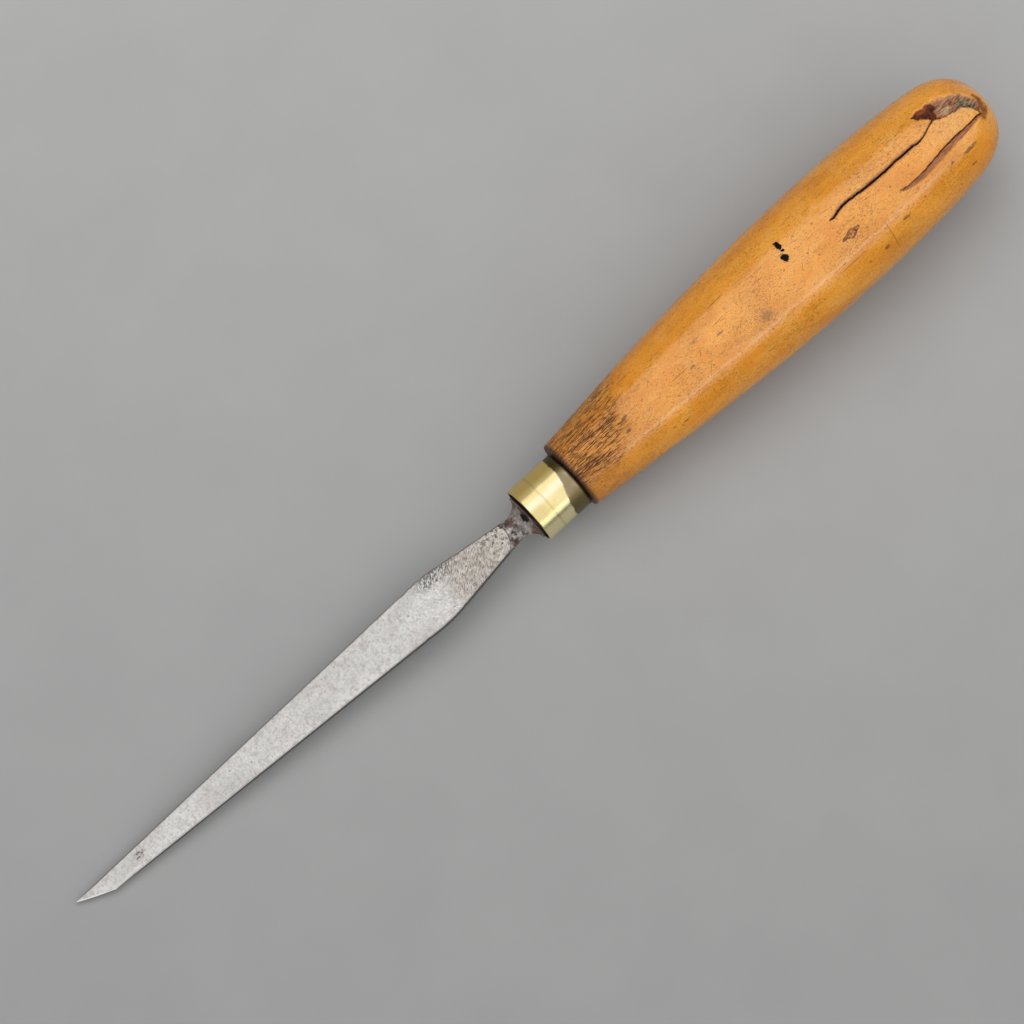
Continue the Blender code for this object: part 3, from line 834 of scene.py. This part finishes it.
def boxwood():
    """Old oiled boxwood: honey ground, long grain, scratches, ticks and stain by the ferrule, ink and cracks."""
    material, n = new_material("boxwood")
    at = n.tool_coordinates()
    wrapped, x, arc = n.around_axis(at, BARREL_OFFSET, WRAP_RADIUS)
    skin_at = {0: n.maths("GREATER_THAN", x, BUTT_CAP), 4: wrapped, 5: n.joined(*n.axes(at)[1:])}
    skin_at = n.value("ShaderNodeMix", 1, skin_at, data_type="VECTOR")
    crack, halo, chip, hollow = n.attributes("crack", "halo", "chip", "hollow")
    blush, furrow, dent, stain = n.attributes("blush", "furrow", "dent", "stain")

    ground = n.noise(at, (0.07, 0.14), 5.0, 0.6)
    n.colour = n.mixed(ground.ramp(0.36, 0.64), (0.75, 0.27, 0.012), (0.86, 0.355, 0.036))
    grain = n.noise(at, (0.08, 1.2), 5.0, 0.6)
    n.paint(grain.ramp(0.45, 0.75, 0, 0.2), (0.42, 0.13, 0.012))
    pale = n.noise(at, (0.16, 0.26), 6.0, 0.65, shift=(3, 9, 2))
    n.paint(pale.ramp(0.46, 0.72, 0, 0.5), (0.84, 0.41, 0.09))
    grime = n.noise(at, (1.3, 1.7), 7.0, 0.75, shift=(5, 2, 7))
    speck = n.noise(at, (3.2, 4.2), 4.0, 0.7, shift=(2, 8, 5))
    n.paint(grime.ramp(0.5, 0.7, 0, 0.42), (0.4, 0.125, 0.016))
    n.paint(speck.ramp(0.53, 0.66, 0, 0.68), (0.3, 0.09, 0.014))
    pores = n.flecks(n.stretched(skin_at, (1.5, 3.0), (7, 1, 3)), 0.26, 0.4)
    n.paint(pores * pale.ramp(0.35, 0.6) * 0.55, (0.2, 0.06, 0.014))

    used = n.noise(at, (0.1, 0.14), 4.0, shift=(1, 3, 8)).ramp(0.38, 0.66, 0.15, 1.0)
    fine = n.any_of(*[n.dashes(skin_at, *lay) for lay in HANDLE_SCRATCHES])
    hair = n.noise(skin_at, (1.3, 4.5), 5.0, 0.72, shift=(4, 4, 6), bent=0.6)
    hair = hair.ramp(0.54, 0.64) * used
    dots = n.any_of(*[n.flecks(n.stretched(skin_at, scale, shift), *lay) for scale, shift, *lay in HANDLE_DOTS])
    dirt = n.spots(wrapped, 2.6, 0.9, (50.0, -3.6, 8.0, 3.2)) * speck.ramp(0.4, 0.6)
    long_scratch = n.spots(wrapped, 0.5, 0.4, *LONG_SCRATCHES)
    smudge = n.spots(wrapped, 3.4, 0.6, (52.6, -5.1, 1.7, 1.2))
    bruises = n.spots(wrapped, 1.6, 0.3, *HANDLE_BRUISES)
    wear = (
        fine * 0.6 | hair * 0.42 | dirt * 0.36 | dots * 0.6 | long_scratch * 0.5 | smudge * 0.58
        | bruises * grime.ramp(0.35, 0.6, 0.4, 0.85)
    )
    n.paint(wear, (0.12, 0.04, 0.016))

    edge = n.nudged(x, at, (0.12, 0.32), 16.0, (4, 1, 7))
    near = (edge - arc * 0.35).ramp(18.0, 11.0)
    above = n.nudged(arc, at, 0.2, 5.0).ramp(-10.5, -7.0)
    sway = n.noise(at, (0.3, 0.5), 3.0) - 0.5
    waved = n.vectors("ADD", wrapped, n.joined(0.0, sway * 0.9))
    ticks = n.any_of(*[n.dashes(waved, *lay) for lay in TICKS]) * near * above
    lines = n.noise(waved, (0.4, 4.6), 4.0, 0.65, shift=(8, 2, 0))
    ticks = ticks | lines.ramp(0.56, 0.64) * near * above * 0.5
    veil = edge.ramp(24.0, 2.0) * grime.ramp(0.3, 0.6, 0.4, 1.0)
    streaks = n.noise(waved, (0.35, 2.4), 4.0, 0.6, shift=(1, 2, 0))
    stain = stain.ramp(0.05, 0.6) * streaks.ramp(0.38, 0.56)
    n.paint(veil * 0.55, (0.31, 0.112, 0.034))
    n.paint(stain * 0.85, (0.08, 0.026, 0.022))
    n.paint(ticks * 0.88, (0.065, 0.022, 0.011))

    crack = crack + (speck - 0.55) * crack.ramp(0.0, 0.3) * 1.2
    crack = crack * (arc.ramp(-3.4, -2.6) | x.ramp(94.0, 101.0, 0.4, 1.0))
    torn = n.noise(at, (0.5, 0.7), 6.0, 0.6).ramp(0.4, 0.66)
    fibre = n.noise(at, (0.5, 2.6), 5.0, 0.6, turn=0.5).ramp(0.38, 0.62)
    fresh = x.ramp(99.0, 112.0) * x.ramp(118.6, 117.0) * arc.ramp(-4.4, -3.4) * arc.ramp(2.4, 0.9)
    n.paint(fresh * grime.ramp(0.6, 0.4) * 0.55, (0.8, 0.43, 0.13))
    n.paint(blush.ramp(0.0, 0.2) * n.nudged(blush, at, 0.8, 1.3).ramp(0.2, 1.1, 0, 0.9), (0.14, 0.035, 0.008))
    n.paint(furrow.ramp(0.03, 0.7, 0, 0.85), n.mixed(fibre, (0.17, 0.062, 0.042), (0.36, 0.15, 0.085)))
    # Painted shade: a brown band beside the crack and along the hollow's brink
    n.paint(halo.ramp(0.0, 0.9, 0, 0.85) * grime.ramp(0.3, 0.55, 0.6, 1.0), (0.17, 0.052, 0.018))
    slope = n.mixed(fibre, (0.15, 0.05, 0.03), (0.42, 0.2, 0.11))
    grey = n.spots(wrapped, 1.0, 0.25, (116.2, -0.3, 2.4, 3.0)) | n.spots(wrapped, 1.0, 0.3, (111.6, 1.9, 1.3, 1.2))
    lining = n.mixed(
        x.ramp(113.4, 114.2),
        n.mixed(fibre, (0.22, 0.15, 0.09), (0.5, 0.36, 0.2)),
        n.mixed(fibre, (0.045, 0.036, 0.024), (0.27, 0.22, 0.14)),
    )
    grey = grey * hollow.ramp(0.45, 0.7)
    n.paint(hollow.ramp(0.0, 0.4) * fibre.ramp(0.0, 1.0, 1.0, 0.85), n.mixed(grey, slope, lining))
    n.paint(chip.ramp(0.0, 0.6), n.mixed(torn, (0.04, 0.012, 0.006), (0.25, 0.055, 0.009)))
    ring = dent.ramp(0.03, 0.3) * grime.ramp(0.35, 0.55, 0.6, 1.0)
    n.paint(
        ring * 0.85,
        n.mixed(dent.ramp(0.35, 0.75) * grime.ramp(0.56, 0.44), (0.055, 0.02, 0.013), (0.42, 0.18, 0.085)),
    )
    n.paint(crack.ramp(0.15, 0.65), (0.016, 0.007, 0.005))

    ink = n.spots(wrapped, 2.2, 0.1, *INK)
    n.paint(ink, (0.009, 0.008, 0.008))
    # Darker at the shoulder next to the ferrule: grime, and painted shade in the gap between the parts
    rim = x.ramp(1.2, 0.2)
    n.paint(rim * 0.85, (0.045, 0.02, 0.011))

    dull = crack | chip | hollow | furrow | dent | ticks | stain | ink | blush * 0.7 | veil * 0.4
    rough = grime.ramp(0.3, 0.7, 0.16, 0.3) + dull * 0.35
    low = ticks | fine * 0.8 | hair * 0.5 | dots * 0.8 | crack | long_scratch * 0.8
    height = grime * 0.14 - low
    metal = ink * 0.85 | crack.ramp(0.3, 0.9, 0, 0.8)
    handled = abs(arc + 1.0).ramp(11.0, 6.0, 0.05, 1.0)
    coat = handled * dull.ramp(0.0, 0.5, 1.0, 0.0)
    coat = {"Coat Weight": coat, "Coat Roughness": 0.14, "Specular IOR Level": 0.25}
    n.finish(rough, height, WOOD_BUMP, metal, coat)
    return material


def brass():
    """Polished brass: fine turning lines, a faint brown ring and a dull, ragged band of tarnish at the rear."""
    material, n = new_material("brass")
    at = n.tool_coordinates()
    wrapped, x, arc = n.around_axis(at, 0.0, FERRULE_RADIUS)
    lines = n.noise(wrapped, (9.0, 0.12), 3.0)
    cloud = n.noise(at, 0.3, 4.0)
    streak = n.noise(wrapped, (0.12, 1.1), 3.0)
    (bore,) = n.attributes("inside")
    n.colour = n.mixed(cloud.ramp(0.35, 0.7), (0.73, 0.59, 0.26), (0.79, 0.68, 0.37))
    n.paint(streak.ramp(0.5, 0.75, 0, 0.35), (0.5, 0.36, 0.11))
    # Painted shade: a deeper, more saturated yellow on the left side
    n.paint(arc.ramp(2.5, 3.4, 0, 0.9), (0.82, 0.6, 0.2))

    # Painted highlight: paler, whiter brass along the middle
    bright = abs(arc + 0.1).ramp(1.5, 0.4, 0.0, 0.75)
    n.paint(bright, (0.77, 0.72, 0.53))
    # Painted shade: darker, browner brass right of the middle, mostly towards the mouth
    shaded = arc.ramp(0.0, -1.4, 0.0, 0.75) * arc.ramp(-4.8, -4.2) * x.ramp(-10.0, -8.0, 1.0, 0.1)
    n.paint(shaded, (0.62, 0.485, 0.22))
    # Painted reflection of the floor: lighter brass along the far right side
    n.paint(arc.ramp(-4.4, -5.2), (0.95, 0.84, 0.48))

    edge = n.nudged(x, wrapped, (0.2, 0.3), 1.6, (3, 0, 0), 3.0)
    edge = edge + arc.ramp(3.0, -6.5, 0.0, 2.0)
    tarnish = edge.ramp(-2.65, -2.25)
    # The tarnish's tone by side: tan in the middle as a painted reflection, darker left and right as painted shade
    dark = n.mixed(arc.ramp(0.3, 2.8), (0.36, 0.28, 0.175), (0.028, 0.017, 0.006))
    dark = n.mixed(arc.ramp(-2.8, -4.6), dark, (0.12, 0.09, 0.03))
    dark = n.mixed(cloud.ramp(0.4, 0.6, 0, 0.5), dark, (0.09, 0.064, 0.03))
    ring = abs(n.nudged(x, wrapped, (0.1, 0.3), 0.6) - BRASS_RING)
    ring = ring.ramp(0.45, 0.05, 0.0, 0.32)
    spots = n.flecks(n.stretched(at, 1.1), 0.22, 0.25)
    rear = x.ramp(-0.95, -0.6)
    n.paint(ring | spots * 0.4, (0.42, 0.29, 0.1))
    n.paint(tarnish * 0.92, dark)
    # Painted shade: the bore and the rear edge against the handle near black, with grime in the bore
    n.paint(bore.ramp(0.35, 0.7) | rear * 0.85, (0.025, 0.014, 0.009))
    rough = lines.ramp(0.3, 0.7, 0.16, 0.24) | tarnish * 0.42 | bore * 0.8 | arc.ramp(1.6, 3.2, 0.0, 0.48)
    height = lines * 0.5 + spots * -0.6
    n.finish(rough, height, BRASS_BUMP, 1.0)
    return material


def steel():
    """Old ground steel: a speckled grey patina, marks of grinding, pits, worn edges and a rusty forged neck."""
    material, n = new_material("steel")
    at = n.tool_coordinates()
    flat = n.framed(at, (FLAT_END, BLADE_SHIFT, 0), (0, 0, -BLADE_CANT))
    x, y, _ = n.axes(flat)
    forged, rim, flank, honed = n.attributes("forged", "rim", "flank", "honed")

    broad = n.noise(flat, (0.1, 0.25), 5.0)
    mottle = n.noise(flat, (1.7, 1.9), 6.0, 0.72)
    tint = n.noise(flat, (0.35, 0.5), 5.0, shift=(4, 8, 1))
    n.colour = n.mixed(broad.ramp(0.35, 0.65), (0.475, 0.463, 0.45), (0.56, 0.55, 0.54))
    patina = n.mixed(tint.ramp(0.4, 0.6), (0.3, 0.255, 0.24), (0.3, 0.292, 0.268))
    n.paint(mottle.ramp(0.42, 0.7, 0, 0.66), patina)
    beige = n.nudged(x, flat, (0.15, 0.2), 8.0).ramp(-17.6, -13.6)
    blotch = n.noise(flat, (0.7, 0.55), 5.0, 0.65, shift=(2, 6, 4))
    n.paint(blotch.ramp(0.48, 0.7, 0, 0.5), patina)
    n.paint(beige * 0.55, (0.5, 0.44, 0.375))
    n.paint(beige * blotch.ramp(0.42, 0.66) * 0.55, (0.24, 0.195, 0.165))

    ground = n.noise(flat, (5.5, 0.25), 3.0, 0.6)
    n.paint(ground.ramp(0.5, 0.75, 0, 0.3), (0.26, 0.23, 0.21))
    brush = n.dashes(flat, -0.73, 2.2, 0.2, 0.5) * abs(x + 20.0).ramp(7.0, 3.0)
    n.paint(brush * 0.5, (0.78, 0.77, 0.76))
    slant = n.noise(n.framed(flat, turn=(0, 0, 0.84), size=(0.9, 0.22, 0.4)), 1.0, 5.0, 0.66)
    drag = slant.ramp(0.48, 0.66) * beige * x.ramp(-3.0, -9.0, 0.3, 0.8)
    rotten = n.noise(flat, 1.5, 5.0, 0.65, shift=(5, 3, 2))
    end_pits = n.nudged(rotten, flat, 0.3, 0.2).ramp(0.54, 0.61)
    end_pits = end_pits * x.ramp(-12.0, -1.0)
    pits = n.flecks(n.stretched(flat, 0.8, (3, 1, 2)), 0.16, 0.3)
    scrape = slant.ramp(0.48, 0.57) * n.spots(flat, 1.2, 0.6, (-17.0, 4.1, 5.0, 1.7))
    gnawed = rotten.ramp(0.44, 0.54) * n.spots(flat, 1.0, 0.5, (-17.2, 5.1, 4.4, 0.75))
    cluster = n.spots(flat, 1.2, 0.5, (-102.9, 0.45, 1.3, 0.95))
    cluster = cluster * n.flecks(n.stretched(flat, (2.0, 2.3, 2.0), (1, 4, 2)), 0.62, 0.95).ramp(0.0, 1.0, 0.22, 1.0)
    dark = drag | pits * 0.55 | end_pits | scrape * 0.95 | cluster * 0.8 | gnawed * 0.8
    n.paint(dark, (0.1, 0.085, 0.08))
    # Painted shade on the side faces, over a dark patina
    n.paint(flank * 0.85, (0.085, 0.075, 0.068))
    n.paint(rim * 0.55, n.mixed(y.ramp(-1.0, 1.0), (0.3, 0.27, 0.25), (0.16, 0.13, 0.115)))
    n.paint(honed * 0.7, (0.72, 0.71, 0.7))

    scale = n.noise(at, 0.8, 6.0, 0.66)
    iron = n.mixed(scale.ramp(0.36, 0.64), (0.07, 0.056, 0.05), (0.5, 0.47, 0.455))
    along = n.axes(at)[0]
    iron = n.mixed(along.ramp(-16.0, -14.0, 0, 0.4), iron, (0.8, 0.72, 0.66))
    rust = n.noise(at, 0.4, 4.0, shift=(2, 6, 3)).ramp(0.48, 0.64, 0, 0.7)
    rust = rust | n.spots(at, 1.2, 0.4, *NECK_RUST)
    iron = n.mixed(rust * 0.85, iron, n.mixed(scale.ramp(0.35, 0.65), (0.035, 0.018, 0.012), (0.2, 0.085, 0.036)))
    iron = n.mixed(n.spots(at, 1.8, 0.3, (-13.5, -0.2, 0.6, 1.15)), iron, (0.03, 0.025, 0.023))
    # Painted shade: the bolster inside the ferrule's mouth near black, with some grime
    iron = n.mixed(along.ramp(-12.92, -12.8), iron, (0.02, 0.01, 0.007))
    n.paint(forged, iron)

    worn = mottle.ramp(0.4, 0.7, 0.36, 0.5) + dark * 0.2
    rough = worn + forged * 0.08
    level = ground * 0.4 - dark * 1.2
    lumpy = scale * forged * 6.0
    metal = (dark * 0.6 | forged * rust).ramp(0.0, 1.0, 1.0, 0.3)
    n.finish(rough, level + lumpy, STEEL_BUMP, metal)
    return material


# Stage


def make_floor():
    """A grey floor far larger than the view, brightened towards the picture's top by painted light."""
    mesh = bpy.data.meshes.new("floor")
    corners = np.array([(-1, -1, 0), (1, -1, 0), (1, 1, 0), (-1, 1, 0)]) * FLOOR_HALF
    mesh.from_pydata(corners.tolist(), [], [(0, 1, 2, 3)])
    floor = bpy.data.objects.new("floor", mesh)
    bpy.context.scene.collection.objects.link(floor)
    material, n = new_material("grey_board")
    place = n.value("ShaderNodeTexCoord", "Object")
    # Painted light: the grey brightens towards the picture's top, nudged by noise
    far = n.vectors("DOT_PRODUCT", place, (*FLOOR_WAY, 0.0), output=1)
    share = n.nudged(far.ramp(*FLOOR_RUN), place, 40.0, 0.3, detail=5.0)
    colour = n.mixed(share, (0.257, 0.257, 0.257), (0.396, 0.396, 0.392))
    n.fill(n.tree.nodes["Principled BSDF"], {"Base Color": colour, "Roughness": 0.75})
    mesh.materials.append(material)


def make_world():
    """A soft dome: a wide white cap overhead, a little brighter towards the picture's top, over a dim horizon."""
    world = bpy.data.worlds.new("studio")
    world.use_nodes = True
    bpy.context.scene.world = world
    n = Shading(world.node_tree)
    direction = n.value("ShaderNodeTexCoord", "Generated")
    cap, patch = (n.vectors("DOT_PRODUCT", direction, way, output=1) for way in (SKY_MIDDLE, SKY_BRIGHTEST))
    mirrored = n.value("ShaderNodeLightPath", "Is Glossy Ray")
    light = (cap.ramp(*SKY_CAP) + patch.ramp(*SKY_PATCH)) * mirrored.ramp(0.0, 1.0, FILL_SHARE, 1.0)
    n.fill(n.tree.nodes["Background"], {"Color": light})


def area_light(name, place, size, power, mirrored):
    """A rectangular lamp at a place, facing the tool's middle, that lights surfaces or is mirrored in them."""
    lamp = bpy.data.lights.new(name, "AREA")
    lamp.shape = "RECTANGLE"
    lamp.size, lamp.size_y = size
    lamp.energy = power
    holder = bpy.data.objects.new(name, lamp)
    holder.location = place
    holder.rotation_euler = Vector(place).to_track_quat("Z", "Y").to_euler()
    holder.visible_camera = False
    holder.visible_glossy = mirrored
    holder.visible_diffuse = not mirrored
    bpy.context.scene.collection.objects.link(holder)


def make_camera():
    """The camera at the photograph's angle, aimed straight down its own line."""
    east, north = math.sin(CAMERA_AZIMUTH), math.cos(CAMERA_AZIMUTH)
    level = math.cos(CAMERA_ELEVATION)
    back = Vector((east * level, -north * level, math.sin(CAMERA_ELEVATION)))
    right = Vector((north, east, 0.0))
    rise = back.cross(right)
    lens = bpy.data.cameras.new("camera")
    lens.lens = CAMERA_LENS
    lens.sensor_width = CAMERA_SENSOR
    lens.clip_start = CAMERA_NEAR
    camera = bpy.data.objects.new("camera", lens)
    camera.location = back * CAMERA_DISTANCE + right * CAMERA_SIDE + rise * CAMERA_RISE
    camera.rotation_euler = back.to_track_quat("Z", "Y").to_euler()
    bpy.context.scene.collection.objects.link(camera)
    bpy.context.scene.camera = camera


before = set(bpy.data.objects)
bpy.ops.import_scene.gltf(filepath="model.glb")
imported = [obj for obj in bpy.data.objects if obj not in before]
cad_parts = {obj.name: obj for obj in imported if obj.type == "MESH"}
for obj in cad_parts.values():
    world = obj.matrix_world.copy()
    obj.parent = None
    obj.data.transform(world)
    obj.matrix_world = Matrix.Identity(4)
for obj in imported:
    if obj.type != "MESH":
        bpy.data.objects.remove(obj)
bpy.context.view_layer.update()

for make, node, slot, finish in (
    (make_handle, "handle", "boxwood", boxwood),
    (make_ferrule, "ferrule", "brass", brass),
    (make_blade, "blade", "steel", steel),
):
    piece = make()
    piece.data.materials.append(finish())
    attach(piece, "root")
    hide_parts(node)

make_floor()
make_world()
for lamp in LAMPS:
    area_light(*lamp)
make_camera()
bpy.context.scene.view_settings.view_transform = "Standard"
